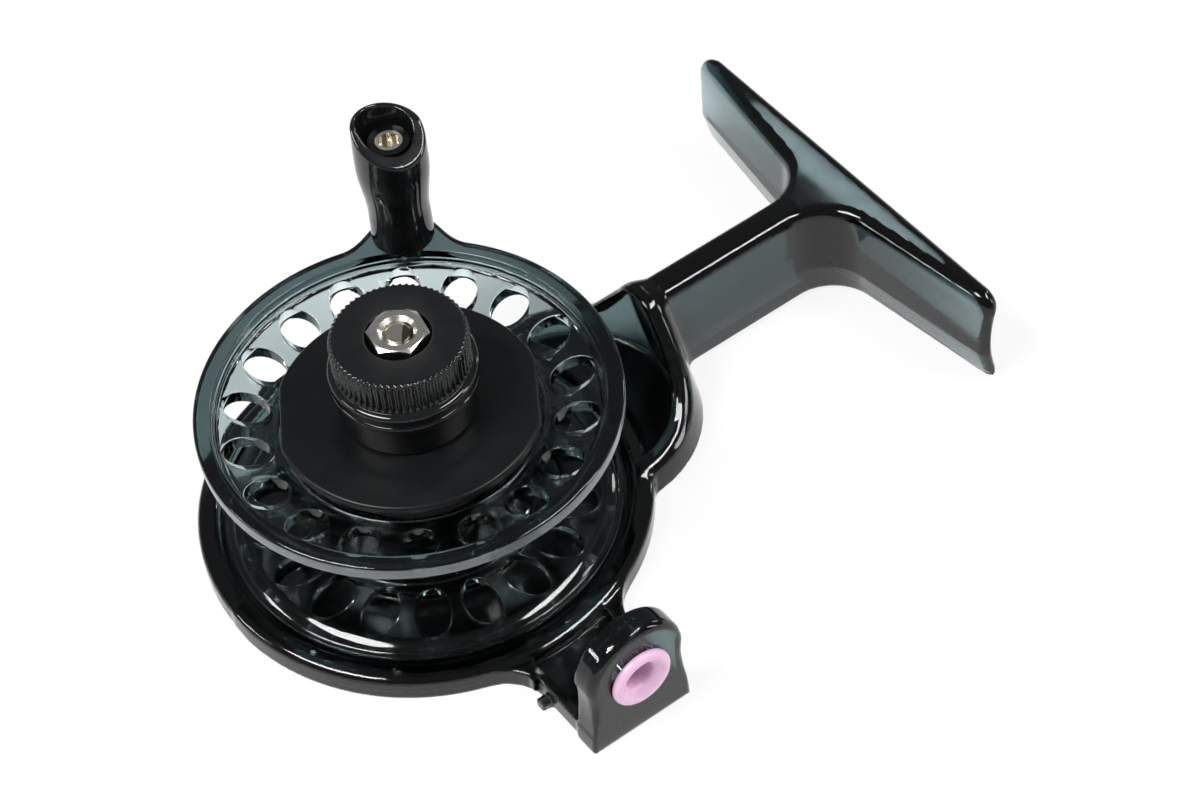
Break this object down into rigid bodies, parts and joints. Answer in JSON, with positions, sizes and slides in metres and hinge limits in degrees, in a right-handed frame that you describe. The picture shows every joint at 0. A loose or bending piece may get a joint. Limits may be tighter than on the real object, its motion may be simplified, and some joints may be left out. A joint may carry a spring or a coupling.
{
  "type": "ice fishing reel",
  "caption": "Small ice fishing reel: a holed line spool with a crank knob turns on an axle in a one-piece frame with a rod foot, a line guide ring and an adjustable drag knob.",
  "frame": {"origin": "on the spool's axis, on the flat back face of the frame", "axes": "+X along the arm to the rod foot, +Z along the axle from the back face to the drag knob, -Y towards the line guide"},
  "size_m": [0.1028, 0.0774, 0.0445],
  "materials": {
    "smoke_plastic": "smoky translucent gloss",
    "pink_plastic": "gloss",
    "steel": "bright plated",
    "spring_steel": "satin",
    "nylon": "matte",
    "bronze": "satin",
    "drag_felt": "felted",
    "black_satin": "satin",
    "black_plastic": "gloss"
  },
  "bodies": {
    "frame": {"frame": "smoke_plastic", "guide_ring": "pink_plastic", "axle": "steel", "axle_washer": "steel", "axle_clip": "spring_steel", "thrust_washer": "nylon", "pressure_plate": "black_satin", "drag_spring": "spring_steel"},
    "spool": {"spool": "smoke_plastic", "lower_bush": "bronze", "upper_bush": "bronze", "friction_washer": "drag_felt", "handle_insert": "steel", "handle_washer": "steel", "handle_sleeve": "bronze", "handle_screw": "steel"},
    "handle": {"handle_knob": "black_plastic"},
    "drag_slide": {"keyed_washer": "steel"},
    "drag_knob": {"drag_knob": "black_plastic", "drag_nut": "steel"}
  },
  "joints": [
    {"name": "spool_spin", "type": "hinge", "parent": "frame", "child": "spool", "pos_m": [0, 0, 0], "axis": [0, 0, 1], "continuous": true},
    {"name": "handle_spin", "type": "hinge", "parent": "spool", "child": "handle", "pos_m": [0.01545, 0.02335, 0.0236], "axis": [0, 0, 1], "continuous": true},
    {"name": "drag_lift", "type": "slide", "parent": "frame", "child": "drag_slide", "axis": [0, 0, 1], "range_m": [0, 0.00105], "deforming": ["drag_spring"]},
    {"name": "drag_turn", "type": "hinge", "parent": "drag_slide", "child": "drag_knob", "pos_m": [0, 0, 0.03], "axis": [0, 0, 1], "range_deg": [0, 540]}
  ],
  "couplings": [
    {"joint": "drag_lift", "follows": "drag_turn", "m_per_rad": 0.00011141}
  ]
}
